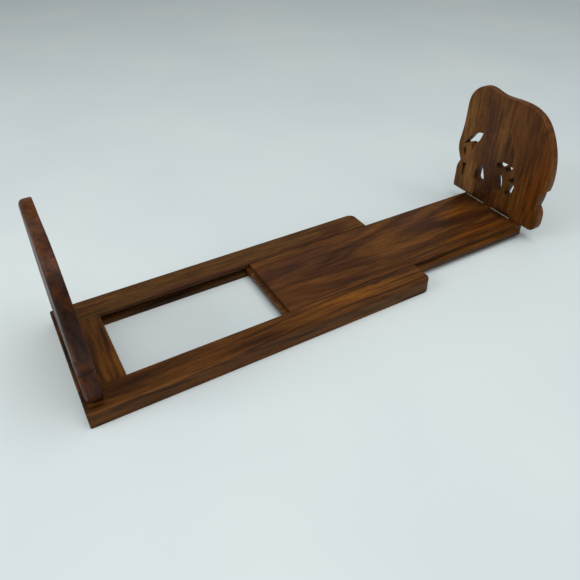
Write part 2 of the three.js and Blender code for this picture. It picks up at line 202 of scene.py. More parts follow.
def ease_edges(obj, arris_of):
    """Rounds the sharp edges. arris_of(middle, direction) gives each one's radius, in millimetres."""
    mesh = obj.data
    work = bmesh.new()
    work.from_mesh(mesh)
    bmesh.ops.remove_doubles(work, verts=work.verts, dist=MERGE_DISTANCE)
    flat = math.radians(FLAT_ANGLE)
    bmesh.ops.dissolve_limit(work, angle_limit=flat, verts=work.verts, edges=work.edges)
    weights = []
    for edge in work.edges:
        sharp = len(edge.link_faces) == 2 and edge.calc_face_angle(0) > math.radians(SHARP_ANGLE)
        middle = (edge.verts[0].co + edge.verts[1].co) / 2 / MM
        along = (edge.verts[1].co - edge.verts[0].co).normalized()
        weights.append(arris_of(middle, along) / END_ARRIS if sharp else 0.0)
    work.to_mesh(mesh)
    work.free()
    layer = mesh.attributes.new("bevel_weight_edge", "FLOAT", "EDGE")
    layer.data.foreach_set("value", weights)
    modifier = obj.modifiers.new("arris", "BEVEL")
    modifier.width = END_ARRIS * MM
    modifier.segments = ARRIS_STEPS
    modifier.limit_method = "WEIGHT"
    modifier.use_clamp_overlap = True
    return bake_modifiers(obj)


def smooth(obj, angle=WOOD_SMOOTH, weighted=True):
    """Smooth shading across everything flatter than angle."""
    mesh = obj.data
    mesh.polygons.foreach_set("use_smooth", [True] * len(mesh.polygons))
    mesh.set_sharp_from_angle(angle=math.radians(angle))
    if weighted:
        modifier = obj.modifiers.new("normals", "WEIGHTED_NORMAL")
        modifier.keep_sharp = True
    return obj


def arc(centre, radius, start, end):
    """Points of an arc, angles in degrees."""
    angles = np.radians(np.linspace(start, end, CORNER_STEPS + 1))
    return [(centre[0] + radius * math.cos(a), centre[1] + radius * math.sin(a)) for a in angles]


def lathe(name, profile, steps, place):
    """A closed turned piece from a profile of (radius, height) that starts and ends on the axis."""
    rings = profile[1:-1]
    vertices = [place(0, 0, profile[0][1])]
    for radius, height in rings:
        for k in range(steps):
            angle = 2 * math.pi * k / steps
            vertices.append(place(radius * math.cos(angle), radius * math.sin(angle), height))
    vertices.append(place(0, 0, profile[-1][1]))
    last = len(vertices) - 1
    faces = []
    for k in range(steps):
        following = (k + 1) % steps
        faces.append((0, 1 + following, 1 + k))
        for row in range(len(rings) - 1):
            a, b = 1 + row * steps, 1 + (row + 1) * steps
            faces.append((a + k, a + following, b + following, b + k))
        top = 1 + (len(rings) - 1) * steps
        faces.append((top + k, top + following, last))
    return face_outward(new_object(name, vertices, faces))


def face_outward(obj):
    """Turns a closed mesh's faces outwards."""
    work = bmesh.new()
    work.from_mesh(obj.data)
    bmesh.ops.recalc_face_normals(work, faces=work.faces)
    work.to_mesh(obj.data)
    work.free()
    return obj


# -------- hinge recesses
def bar_along_y(name, radius, low, high, centre):
    """A round bar from Y = low to high, centred on (x, z)."""
    profile = [(0, low), (radius, low), (radius, high), (0, high)]
    return lathe(name, profile, BORE_STEPS, lambda a, b, h: (centre[0] + a, h, centre[1] + b))


def screw_cutter(node, up):
    """The countersunk hole round a CAD screw whose head is at the bottom (up) or the top."""
    low, high = box_mm(node)
    x, y, _ = centre_mm(node)
    head = (high.x - low.x) / 2 + HOLE_PLAY
    end = high.z - low.z + HOLE_PLAY
    shank = head * HOLE_SHANK
    profile = [(0, HOLE_START), (head, HOLE_START), (head, 0), (shank, head * SINK_DEPTH),
               (shank, end), (0, end)]
    foot, sign = (low.z, 1) if up else (high.z, -1)
    return lathe("cutter", profile, HOLE_STEPS, lambda a, b, h: (x + a, y + b, foot + sign * h))


def hinge_cutters(side, part):
    """What the hinges of one side take out of the wood that their base or bookend leaves lie in."""
    tools = []
    for leaf in nodes_named(side, "hinge", part, "leaf"):
        axis_x, _, axis_z = centre_mm(leaf.replace(f"{part}_leaf", "pin"))
        low, high = box_mm(leaf)
        y0, y1 = low.y - MORTISE_PLAY, high.y + MORTISE_PLAY
        tools.append(bar_along_y("cutter", BARREL_RADIUS + BARREL_CLEARANCE, y0, y1, (axis_x, axis_z)))
        far_x = low.x - MORTISE_PLAY if side == "left" else high.x + MORTISE_PLAY
        plate = LEAF_TO_AXIS + LEAF_THICKNESS + MORTISE_PLAY
        z0, z1 = (axis_z, axis_z + plate) if part == "bookend" else (axis_z - plate, axis_z)
        tools.append(block("cutter", (min(axis_x, far_x), y0, z0), (max(axis_x, far_x), y1, z1)))
    tools += [screw_cutter(n, part == "bookend") for n in nodes_named(side, "hinge", part, "screw")]
    return tools


# -------- hinges and screws
def barrel(low, high, centre):
    """One knuckle along Y, with a fine chamfer at each end."""
    small = BARREL_RADIUS - BARREL_CHAMFER
    profile = [(0, low), (small, low), (BARREL_RADIUS, low + BARREL_CHAMFER),
               (BARREL_RADIUS, high - BARREL_CHAMFER), (small, high), (0, high)]
    return lathe("barrel", profile, BARREL_STEPS, lambda a, b, h: (centre[0] + a, h, centre[1] + b))


def hinge_leaf(node, part):
    """A leaf with its own knuckles, bored for the pin and drilled for two screws."""
    outward = -1 if node.startswith("left") else 1
    up = 1 if part == "bookend" else -1
    pin = node.replace(f"{part}_leaf", "pin")
    pin_low, pin_high = box_mm(pin)
    axis_x, _, axis_z = centre_mm(pin)
    leaf_low, leaf_high = box_mm(node)
    far_x = leaf_low.x if outward < 0 else leaf_high.x
    heights = sorted((axis_z + up * LEAF_TO_AXIS, axis_z + up * (LEAF_TO_AXIS + LEAF_THICKNESS)))
    pitch = (pin_high.y - pin_low.y + KNUCKLE_GAP) / KNUCKLES

    def plate(name, from_axis, to_x, y0, y1):
        ends = sorted((axis_x + outward * from_axis, to_x))
        return block(name, (ends[0], y0, heights[0]), (ends[1], y1, heights[1]))

    obj = plate(f"{node}_brass", LEAF_FROM_AXIS, far_x, pin_low.y, pin_high.y)
    bridge_end = axis_x + outward * (LEAF_FROM_AXIS + BRIDGE_OVERLAP)
    for k in range(1 if part == "bookend" else 0, KNUCKLES, 2):
        start = pin_low.y + k * pitch
        end = start + pitch - KNUCKLE_GAP
        knuckle = barrel(start, end, (axis_x, axis_z))
        bridge = plate("bridge", BORE_RADIUS + BRIDGE_PLAY, bridge_end, start, end)
        boolean(obj, [knuckle, bridge], "UNION")
    bore = bar_along_y("cutter", BORE_RADIUS, pin_low.y - PAST, pin_high.y + PAST, (axis_x, axis_z))
    screws = nodes_named(node.replace("_leaf", "_screw"))
    boolean(obj, [bore] + [screw_cutter(n, part == "bookend") for n in screws])
    return smooth(obj, METAL_SMOOTH)


def hinge_pin(node):
    """A plain pin along Y, chamfered at both ends."""
    low, high = box_mm(node)
    x, _, z = centre_mm(node)
    radius = (high.x - low.x) / 2
    small = radius - BARREL_CHAMFER
    profile = [(0, low.y), (small, low.y), (radius, low.y + BARREL_CHAMFER),
               (radius, high.y - BARREL_CHAMFER), (small, high.y), (0, high.y)]
    obj = lathe(f"{node}_brass", profile, SCREW_STEPS, lambda a, b, h: (x + a, h, z + b))
    return smooth(obj, METAL_SMOOTH)


def cut_slot(obj, place, head, half, depth, up=True):
    """A driver slot across a screw's head, whose radius is head and whose outer face is at place."""
    x, y, z = place
    reach, sign = head + PAST, 1 if up else -1
    z0, z1 = sorted((z - sign * PAST, z + sign * depth))
    return boolean(obj, [block("cutter", (x - reach, y - half, z0), (x + reach, y + half, z1))])


def wood_screw(node, up):
    """A countersunk screw with a driver slot and a threaded shank; up when its head is at the bottom."""
    low, high = box_mm(node)
    x, y, _ = centre_mm(node)
    head, length = (high.x - low.x) / 2, high.z - low.z
    shank = head * SCREW_SHANK
    root = shank * THREAD_ROOT
    start, end = length * THREAD_START, length * THREAD_END
    profile = [(0, 0), (head - HEAD_EDGE[0], 0), (head, HEAD_EDGE[1]), (shank, head * SINK_DEPTH),
               (shank, start)]
    turns = max(THREAD_TURNS, round(length / THREAD_PITCH))
    rise = (end - start) / turns
    for k in range(turns):
        turn_start = start + (end - start) * k / turns
        profile += [(root, turn_start + rise * share) for share in THREAD_VALLEY]
        profile.append((shank, turn_start + rise))
    profile += [(shank * TIP_RADIUS, length * TIP_START), (0, length)]
    foot, sign = (low.z, 1) if up else (high.z, -1)
    obj = lathe(f"{node}_brass", profile, SCREW_STEPS, lambda a, b, h: (x + a, y + b, foot + sign * h))
    cut_slot(obj, (x, y, foot), head, head * SLOT_HALF, head * SLOT_DEPTH, up)
    return smooth(obj, METAL_SMOOTH)


def stop_screw(node):
    """The round-headed screw under the board."""
    low, high = box_mm(node)
    x, y, _ = centre_mm(node)
    head, length = (high.x - low.x) / 2, high.z - low.z
    dome_height = STOP_HEAD_HEIGHT * STOP_DOME
    dome = [(head * math.sin(a), dome_height * (1 - math.cos(a))) for a in np.radians(range(15, 91, 15))]
    profile = [(0, 0), *dome, (head, STOP_HEAD_HEIGHT), (STOP_SHANK, STOP_HEAD_HEIGHT),
               (STOP_SHANK, length - STOP_TIP), (0, length)]
    obj = lathe(f"{node}_brass", profile, SCREW_STEPS, lambda a, b, h: (x + a, y + b, low.z + h))
    cut_slot(obj, (x, y, low.z), head, STOP_SLOT_HALF, STOP_SLOT_DEPTH)
    return smooth(obj, METAL_SMOOTH)


# -------- base frame and board
def groove_heights():
    """The bottom and the top of the rails' grooves."""
    bottom = box_mm("slider_board")[0].z - TONGUE_PLAY
    return bottom, bottom + GROOVE_HEIGHT


def rail(node, side):
    """A grooved side rail; side is -1 for the near one and 1 for the far one."""
    low, high = box_mm(node)
    inner, outer = (low.y, high.y) if side > 0 else (-high.y, -low.y)
    corner = arc((high.x - RAIL_CORNER, outer - RAIL_CORNER), RAIL_CORNER, 0, 90)
    outline = [(low.x, inner), (high.x, inner), *corner, (low.x, outer)]
    if side < 0:
        outline = [(x, -y) for x, y in reversed(outline)]
    obj = prism(f"{node}_wood", outline, low.z, high.z)

    groove_low, groove_high = groove_heights()
    wall = sorted((side * (inner - PAST), side * (inner + GROOVE_DEPTH)))
    groove = block("cutter", (low.x - PAST, wall[0], groove_low), (high.x + PAST, wall[1], groove_high))
    batten_low, batten_high = box_mm("tie_batten")
    reach = sorted((side * (inner - PAST), side * batten_high.y))
    notch = block("cutter", (batten_low.x - BATTEN_PLAY, reach[0], -PAST),
                  (batten_high.x + BATTEN_PLAY, reach[1], batten_high.z + BATTEN_PLAY))
    boolean(obj, [groove, notch])

    def arris(middle, along):
        on_top = middle.z > high.z - NEAR
        upright = abs(along.z) > 0.9
        if on_top and middle.x < low.x + NEAR:
            return END_ARRIS
        if abs(abs(middle.y) - inner) < NEAR or middle.z <= low.z + NEAR:
            return FINE_ARRIS
        return TOP_ARRIS if on_top or upright else FINE_ARRIS

    ease_edges(obj, arris)
    screws = [n for n in nodes_named("_screw_") if "hinge" not in n and box_mm(n)[0].y * side > 0]
    boolean(obj, [screw_cutter(n, True) for n in screws])
    return smooth(obj)


def tie_batten():
    """The thin batten under the rails, near their open end."""
    low, high = box_mm("tie_batten")
    obj = block("tie_batten_wood", low, high)
    ease_edges(obj, lambda middle, along: FINE_ARRIS)
    boolean(obj, [screw_cutter(n, True) for n in nodes_named("batten_screw")])
    return smooth(obj)


def cross_piece():
    """The lighter piece between the rails at the fixed end, with a tongue in each rail's groove."""
    low, high = box_mm("cross_piece")
    half = box_mm("far_rail")[0].y - CROSS_PLAY
    groove_low, groove_high = groove_heights()
    obj = block("cross_piece_wood", (low.x, -half, low.z), (high.x, half, high.z))
    tongue = block("cutter", (low.x, low.y, groove_low + TONGUE_PLAY),
                   (high.x, high.y, groove_high - TONGUE_PLAY))
    boolean(obj, [tongue], "UNION")

    def arris(middle, along):
        on_top = middle.z > high.z - NEAR
        if on_top and middle.x < low.x + NEAR:
            return END_ARRIS
        return WELL_ARRIS if on_top and middle.x > high.x - NEAR else CROSS_ARRIS

    ease_edges(obj, arris)
    screw_holes = [screw_cutter(n, True) for n in nodes_named("cross_screw")]
    boolean(obj, screw_holes + hinge_cutters("left", "base"))
    return smooth(obj)


def slider_board():
    """The sliding board, with a tongue at both sides that also stands out at its left end."""
    low, high = box_mm("slider_board")
    half = box_mm("far_rail")[0].y - BOARD_PLAY
    tongue_end = box_mm("right_bookend")[0].x
    tongue_high = groove_heights()[1] - TONGUE_PLAY
    start = low.x + TONGUE_FRONT
    outline = [
        (start, -half), *arc((high.x - BOARD_CORNER, BOARD_CORNER - half), BOARD_CORNER, -90, 0),
        *arc((high.x - BOARD_CORNER, half - BOARD_CORNER), BOARD_CORNER, 0, 90), (start, half),
    ]
    obj = prism("slider_board_wood", outline, low.z, high.z)
    boolean(obj, [block("cutter", low, (tongue_end, high.y, tongue_high))], "UNION")
    ease_edges(obj, lambda middle, along: TOP_ARRIS if middle.z > high.z - NEAR else FINE_ARRIS)
    boolean(obj, hinge_cutters("right", "base"))
    return smooth(obj)


# -------- carved bookends
# The elephant stands side on, head at +Y. Points are (across, height above the bottom edge).
HEAD_AND_BACK = [
    (55, 33), (57.8, 38), (60.4, 44.5), (60.9, 52.5), (59.2, 63), (57.9, 74), (57.4, 86), (56.9, 98),
    (54.2, 106.3), (49.2, 112.5), (42.3, 117.1), (35, 119), (27.5, 118.4), (21, 117), (14.2, 116.1),
    (6, 116.3), (-4, 117), (-14, 117.1), (-24, 115.7), (-33.4, 112), (-41, 106.2), (-47.4, 98),
    (-52.8, 88), (-56.8, 77), (-59, 65.5), (-59.6, 54.5), (-58.6, 45),
]
HIND_LEG = [(-55.2, 42.2), (-54.5, 35), (-52.6, 26)]
HIND_FOOT = [(-54.6, 23.6), (-56.9, 19.6), (-57.9, 13), (-57.7, 5.6), (-55.6, 1.5), (-51.4, 0)]
FRONT_FOOT = [(58.7, 24.5), (56.6, 29.6), (55, 33)]
FRONT_TOE = [(58, 0), (58.9, 0.9)]

# The pierced gaps, each a closed run of curves that meet at its sharp tips.
GAPS = {
    "trunk": [
        [(30.1, 72), (35.3, 70.9), (40.7, 68), (44.9, 64), (48.3, 59.2), (53.5, 52.6)],
        [(53.5, 52.6), (49.3, 54.7), (45.3, 56.4), (43.1, 55.6), (41, 47.4)],
        [(41, 47.4), (39.4, 55.6), (36.2, 59.4), (32.9, 64.4), (30.1, 72)],
    ],
    "mouth": [
        [(51.1, 49.6), (49.5, 47), (49.3, 43), (50.7, 39.6), (52.5, 42.2), (52.9, 46), (51.1, 49.6)],
    ],
    "trunk_foot": [
        [(45.3, 31.6), (48.5, 31.4), (50.9, 29.8), (50.3, 23.8), (49.7, 16)],
        [(49.7, 16), (48.1, 16.8), (47.3, 23.4), (46.5, 28.4), (45.3, 31.6)],
    ],
    "front_leg": [
        [(22.3, 39.2), (20.3, 33.4), (18.3, 28.4), (17.3, 24), (19.1, 20.8), (23.5, 20), (29.3, 20.1),
         (30, 25.4), (29.1, 31.4), (26, 36.4), (22.3, 39.2)],
    ],
    "belly_tall": [
        [(-4.3, 39.8), (-6.4, 34.4), (-7.2, 28.4), (-6.3, 22.4), (-3.4, 20.4), (-0.1, 21), (1.4, 26.4),
         (2.9, 32.8), (0.7, 37.2), (-4.3, 39.8)],
    ],
    "belly_top": [
        [(-9.3, 53.7), (-3.9, 53.4), (0.7, 51.8), (4.1, 49), (4.3, 46.4), (2.5, 45)],
        [(2.5, 45), (-0.9, 46.8), (-4.5, 49.2), (-7.3, 51.4), (-9.3, 53.7)],
    ],
    "belly_back": [
        [(-16.1, 52.6), (-12.9, 52.6), (-9.9, 50.8), (-7.5, 48.4), (-6.9, 46.4)],
        [(-6.9, 46.4), (-9.1, 45.2), (-12.3, 47.4), (-14.9, 50.2), (-16.1, 52.6)],
    ],
    "belly_small": [
        [(-21.7, 43.8), (-19.7, 43.6), (-17.1, 41.2), (-14.3, 39)],
        [(-14.3, 39), (-15.7, 36.6), (-18.3, 36.8), (-21.1, 39.8), (-21.7, 43.8)],
    ],
    "hind_leg": [
        [(-21.5, 37.4), (-18.5, 35.4), (-15.7, 31), (-13.5, 25.6), (-12.3, 21.4)],
        [(-12.3, 21.4), (-15.1, 20.3), (-18.3, 22), (-20.2, 26), (-21.8, 30.4), (-22.5, 34.4),
         (-21.5, 37.4)],
    ],
}

CURVE_STEPS = 12        # points between two outline points, before even spacing
EDGE_STEP = 0.8         # spacing of the points along every edge of the carved mesh
RING_DEPTHS = (0.1, 0.25, 0.5, 0.85, 1.4, 2.1, 3.1, 4.5)  # rows of points inside every edge
SPARSE_DEPTH = 2        # from this depth on, a row has only every second point
DEPTH_SHARE = 0.985     # a point nearer to another edge than this share of its depth is left out
FACE_STEP = 2.4         # spacing of the points in the flat middle of the face,
FACE_GAP = 0.8          # which starts this far inside the last row
PROBE = 0.05            # a step off an edge, to find its inner side
CHUNK = 1500            # points tested at a time, to limit memory
SAME_POINT = 1e-6       # the triangulation takes points this close as one
TINY = 1e-12            # instead of 0, where a number divides


def spline(points):
    """A uniform Catmull-Rom curve through the points."""
    padded = np.array([points[0], *points, points[-1]], float)
    t = np.linspace(0, 1, CURVE_STEPS, endpoint=False)[:, None]
    spans = []
    for a, b, c, d in zip(padded, padded[1:], padded[2:], padded[3:]):
        slope_b, slope_c = (c - a) / 2, (d - b) / 2
        cubic, square = 2 * (b - c) + slope_b + slope_c, 3 * (c - b) - 2 * slope_b - slope_c
        spans.append(cubic * t ** 3 + square * t ** 2 + slope_b * t + b)
    return np.vstack([*spans, padded[-1:]])


def spaced(points):
    """The same run of points, evenly spaced, with both ends kept."""
    lengths = np.r_[0, np.cumsum(np.linalg.norm(np.diff(points, axis=0), axis=1))]
    count = max(2, round(lengths[-1] / EDGE_STEP) + 1)
    at = np.linspace(0, lengths[-1], count)
    return np.column_stack([np.interp(at, lengths, points[:, k]) for k in (0, 1)])


def closed_loop(runs):
    """One closed loop of points from runs that follow one another."""
    return np.vstack([spaced(spline(run))[:-1] for run in runs])


def elephant_loops():
    """The elephant's outline and then its gaps, each as one closed loop of points."""
    outline = closed_loop([
        FRONT_FOOT, HEAD_AND_BACK, [HEAD_AND_BACK[-1], HIND_LEG[0]], HIND_LEG,
        [HIND_LEG[-1], HIND_FOOT[0]], HIND_FOOT, [HIND_FOOT[-1], FRONT_TOE[0]],
        FRONT_TOE, [FRONT_TOE[-1], FRONT_FOOT[0]],
    ])
    return [outline] + [closed_loop(runs) for runs in GAPS.values()]


def segments_of(loops):
    """Where each straight piece of the loops starts and ends."""
    starts = np.vstack(loops)
    ends = np.vstack([np.roll(loop, -1, axis=0) for loop in loops])
    return starts, ends


def distance_to(points, starts, ends):
    """Each point's distance to the nearest segment."""
    found = []
    along = ends - starts
    squared = np.maximum((along ** 2).sum(1), TINY)
    for first in range(0, len(points), CHUNK):
        gap = points[first:first + CHUNK, None] - starts
        share = np.clip((gap * along).sum(2) / squared, 0, 1)
        found.append(np.linalg.norm(gap - share[..., None] * along, axis=2).min(1))
    return np.concatenate(found)


def is_inside(points, starts, ends):
    """Even-odd test against all the loops at once, so gaps count as outside."""
    found = []
    rise = ends[:, 1] - starts[:, 1]
    rise = np.where(abs(rise) < TINY, TINY, rise)
    for first in range(0, len(points), CHUNK):
        x, y = points[first:first + CHUNK, 0, None], points[first:first + CHUNK, 1, None]
        crosses = (starts[:, 1] > y) != (ends[:, 1] > y)
        at = starts[:, 0] + (y - starts[:, 1]) / rise * (ends[:, 0] - starts[:, 0])
        found.append((crosses & (x < at)).sum(1) % 2 == 1)
    return np.concatenate(found)


def face_points(loops):
    """Points inside the elephant: rings that follow every edge, then a plain grid."""
    starts, ends = segments_of(loops)
    kept = []
    for loop in loops:
        along = np.roll(loop, -1, axis=0) - np.roll(loop, 1, axis=0)
        normal = np.column_stack([-along[:, 1], along[:, 0]])
        normal /= np.linalg.norm(normal, axis=1)[:, None]
        turned = is_inside(loop + normal * PROBE, starts, ends)
        normal[~turned] *= -1
        for depth in RING_DEPTHS:
            every = 1 if depth < SPARSE_DEPTH else 2
            ring = (loop + normal * depth)[::every]
            far_enough = distance_to(ring, starts, ends) > depth * DEPTH_SHARE
            kept.append(ring[far_enough & is_inside(ring, starts, ends)])
    low, high = loops[0].min(0), loops[0].max(0)
    across, up = (np.arange(low[k], high[k], FACE_STEP) for k in (0, 1))
    grid = np.stack(np.meshgrid(across, up), -1).reshape(-1, 2)
    grid = grid[is_inside(grid, starts, ends)]
    depth = distance_to(grid, starts, ends)
    kept.append(grid[depth > RING_DEPTHS[-1] + FACE_GAP])
    return np.vstack(kept)


def round_over(depth, radius):
    """How far a rounded edge still is from its full height at this depth from the edge."""
    rest = np.clip(radius - depth, 0, None)
    return radius - np.sqrt(radius ** 2 - rest ** 2)


def thickness_at(height):
    """A bookend thins from its foot to its top."""
    share = np.clip((height - FOOT_HEIGHT) / (BOOKEND_HEIGHT - FOOT_HEIGHT), 0, 1)
    return FOOT_THICKNESS + (TOP_THICKNESS - FOOT_THICKNESS) * share


def elephant_face(loops):
    """The elephant's flat face, as points and triangles that follow every edge."""
    starts, ends = segments_of(loops)
    points = np.vstack([*loops, face_points(loops)])
    edges, first = [], 0
    for loop in loops:
        count = len(loop)
        edges += [(first + i, first + (i + 1) % count) for i in range(count)]
        first += count
    flat, _, triangles, *_ = delaunay_2d_cdt([Vector(p) for p in points], edges, [], 0, SAME_POINT)
    flat, triangles = np.array(flat, float), np.array(triangles)
    triangles = triangles[is_inside(flat[triangles].mean(1), starts, ends)]
    used = np.unique(triangles)
    renumber = np.full(len(flat), -1)
    renumber[used] = np.arange(len(used))
    return flat[used], renumber[triangles].tolist()


def carved_bookend(name, inner_x, outward, bottom):
    """The pierced elephant: a flat inner face, and an outer face that rolls down to outline and gaps.

    The outer face stays square along the straight bottom edge, which stands on the wood.
    """
    loops = elephant_loops()
    starts, ends = segments_of(loops)
    flat, triangles = elephant_face(loops)
    in_outline = np.arange(len(starts)) < len(loops[0])
    carved = in_outline & ((starts[:, 1] > NEAR) | (ends[:, 1] > NEAR))
    lost = round_over(distance_to(flat, starts[carved], ends[carved]), CARVED_RADIUS)
    gap_lost = round_over(distance_to(flat, starts[~in_outline], ends[~in_outline]), GAP_RADIUS)
    inner = inner_x + outward * round_over(distance_to(flat, starts, ends), INNER_ARRIS)
    outer = inner_x + outward * (thickness_at(flat[:, 1]) - np.maximum(lost, gap_lost))
    heights = flat[:, 1] + bottom
    vertices = np.vstack([np.column_stack([x, flat[:, 0], heights]) for x in (inner, outer)])

    sides = dict.fromkeys(side for a, b, c in triangles for side in ((a, b), (b, c), (c, a)))
    border = [(a, b) for a, b in sides if (b, a) not in sides]
    count = len(flat)
    faces = [tuple(t) for t in triangles]
    faces += [tuple(count + i for i in reversed(t)) for t in triangles]
    faces += [(b, a, count + a, count + b) for a, b in border]
    return face_outward(new_object(name, vertices.tolist(), faces))


def bookend(side, outward):
    """One bookend with its hinge recesses; outward is -1 for the left one and 1 for the right one."""
    node = f"{side}_bookend"
    low, high = box_mm(node)
    inner_x = high.x if outward < 0 else low.x
    obj = carved_bookend(f"{node}_wood", inner_x, outward, low.z)
    boolean(obj, hinge_cutters(side, "bookend"))
    return smooth(obj, CARVED_SMOOTH, weighted=False)


# -------- shader nodes
class Shader:
    """Short ways to build one material out of nodes. Its vectors are in millimetres."""

    def __init__(self, name):
        self.material = bpy.data.materials.new(name)
        self.material.use_nodes = True
        self.tree = self.material.node_tree
        self.bsdf = self.tree.nodes["Principled BSDF"]

    def node(self, kind, inputs=(), **settings):
        """A new node with these settings, and a value or a socket put into each named input."""
        made = self.tree.nodes.new(kind)
        for key, value in settings.items():
            setattr(made, key, value)
        for key, value in dict(inputs).items():
            self.put(made.inputs[key], value)
        return made

    def put(self, socket, value):
        """Sets a socket to a value, or links another socket to it."""
        if isinstance(value, bpy.types.NodeSocket):
            self.tree.links.new(value, socket)
        else:
            socket.default_value = value

    def place(self):
        """The point's place in the piece, in millimetres."""
        coords = self.node("ShaderNodeTexCoord").outputs["Object"]
        return self.vector("SCALE", coords, scale=1 / MM)

    def vector(self, operation, a, b=None, scale=None):
        """A vector operation, whose result is a number for a length."""
        made = self.node("ShaderNodeVectorMath", operation=operation)
        self.put(made.inputs[0], a)
        if b is not None:
            self.put(made.inputs[1], b)
        if scale is not None:
            self.put(made.inputs["Scale"], scale)
        return made.outputs["Value" if operation == "LENGTH" else "Vector"]

    def math(self, operation, a, b=0.0):
        made = self.node("ShaderNodeMath", operation=operation)
        self.put(made.inputs[0], a)
        self.put(made.inputs[1], b)
        return made.outputs[0]

    def mapped(self, vector, location=(0, 0, 0), turn=(0, 0, 0), scale=(1, 1, 1)):
        """The vector moved, then turned (degrees), then scaled."""
        moved = self.vector("ADD", vector, location)
        made = self.node("ShaderNodeMapping", {"Vector": moved, "Scale": scale}, vector_type="POINT")
        made.inputs["Rotation"].default_value = [math.radians(a) for a in turn]
        return made.outputs[0]

    def noise(self, vector, scale=1.0, detail=3.0, rough=0.5, colour=False):
        """A noise's level from 0 to 1, or its colour."""
        made = self.node("ShaderNodeTexNoise", {
            "Vector": vector, "Scale": scale, "Detail": detail, "Roughness": rough})
        return made.outputs["Color" if colour else "Fac"]

    def sway(self, vector, location, scale, detail):
        """A vector noise round zero, which pushes a pattern to and fro."""
        noise = self.noise(self.mapped(vector, location, scale=scale), detail=detail, colour=True)
        return self.vector("SUBTRACT", noise, (0.5, 0.5, 0.5))

    def ramp(self, value, stops, ease="EASE"):
        """A colour or a grey level that follows value through stops of (place, colour or level)."""
        made = self.node("ShaderNodeValToRGB", {"Fac": value})
        made.color_ramp.interpolation = ease
        elements = made.color_ramp.elements
        while len(elements) < len(stops):
            elements.new(0.5)
        for element, (at, shade) in zip(elements, stops):
            element.position = at
            element.color = (*shade, 1) if isinstance(shade, tuple) else (shade, shade, shade, 1)
        return made.outputs["Color"]

    def mix(self, share, a, b, blend="MIX"):
        """Two colours mixed, with this share of b."""
        made = self.node("ShaderNodeMix", data_type="RGBA", blend_type=blend)
        self.put(made.inputs[0], share)
        self.put(made.inputs[6], a if isinstance(a, bpy.types.NodeSocket) else (*a, 1))
        self.put(made.inputs[7], b if isinstance(b, bpy.types.NodeSocket) else (*b, 1))
        return made.outputs[2]

    def bump(self, height, strength, distance):
        """Fine relief, with distance in millimetres."""
        made = self.node("ShaderNodeBump", {
            "Height": height, "Strength": strength, "Distance": distance * MM})
        self.put(self.bsdf.inputs["Normal"], made.outputs["Normal"])


# -------- rosewood
GRAIN_TURNS = {"X": (0, 0, 0), "Y": (0, 0, -90), "Z": (0, 90, 0)}   # each turns the grain onto X

# Colours are linear, as Blender's sockets take them.

INK = (0.008, 0.0028, 0.0013)
CHOCOLATE = (0.036, 0.0105, 0.0028)
BROWN = (0.080, 0.0265, 0.0055)
HONEY = (0.128, 0.047, 0.0072)
GOLD = (0.180, 0.074, 0.0170)
PLUM = (0.056, 0.0195, 0.0095)
AMBER = (0.190, 0.062, 0.0050)
RUST = (0.108, 0.0265, 0.0026)
OLIVE = (0.104, 0.0460, 0.0095)
ASH_BROWN = (0.070, 0.0310, 0.0160)

# How quickly each noise changes along the grain and across it, per millimetre.
WANDER_SCALE = (0.006, 0.03, 0.03)
RIPPLE_SCALE = (0.03, 0.14, 0.14)
FADE_SCALE = (0.012, 0.07, 0.07)
WOBBLE_SCALE = (0.02, 0.09, 0.09)
FIBRE_SCALE = (0.035, 0.62, 0.62)
BROAD_SCALE = (0.016, 0.24, 0.24)
PORE_SCALE = (0.22, 4.2, 4.2)

WANDER = 2.6            # how far the growth rings bend, in ring widths
RIPPLE = 0.45           # and how far they ripple
BAND_SCALE = 0.55       # how quickly the colour changes from ring to ring
LATE_WOOD = [(0.0, 0.0), (0.62, 0.12), (0.9, 1.0), (0.97, 0.35), (1.0, 0.0)]   # a ring's dark line
FINE_LATE_WOOD = [(0.0, 0.0), (0.7, 0.2), (0.95, 0.8), (1.0, 0.0)]
FINE_LINES = 3.37       # between two dark lines
FINE_LINE_SHARE = 0.55  # of a dark line's strength
LINE_FADE = [(0.36, 0.15), (0.62, 1.0)]
PATCH_WOBBLE = 26.0     # how far a patch's edge may wander, in millimetres
STREAK_ROUGH = 0.65     # roughness of the noise of the fibres and the broad streaks
FIBRE_SHADES = [(0.32, 0.628), (0.5, 1.0), (0.72, 1.27)]
BROAD_SHADES = [(0.36, 0.58), (0.50, 1.0), (0.66, 1.32)]
PORES = [(0.60, 0.0), (0.70, 1.0)]
PORE_DARKNESS = 0.55
PORE_ROUGHNESS = 0.2    # what a pore adds to the finish's roughness
FIBRE_ROUGHNESS = 0.16  # by how much the finish's roughness changes with the fibres
FIBRE_HEIGHT = 0.5      # against a pore's depth of 1
WOOD_BUMP = (0.25, 0.12)  # strength, and distance in millimetres

BRASS = (0.30, 0.26, 0.17)
TARNISHED = (0.10, 0.08, 0.05)
TARNISH_SCALE = 0.35
TARNISH = [(0.35, 0.0), (0.7, 1.0)]
BRASS_ROUGHNESS = 0.3
TARNISH_ROUGHNESS = 0.2  # what tarnish adds
SCRATCH_SCALE = (2.5, 0.4, 2.5)
SCRATCH_BUMP = (0.1, 0.05)


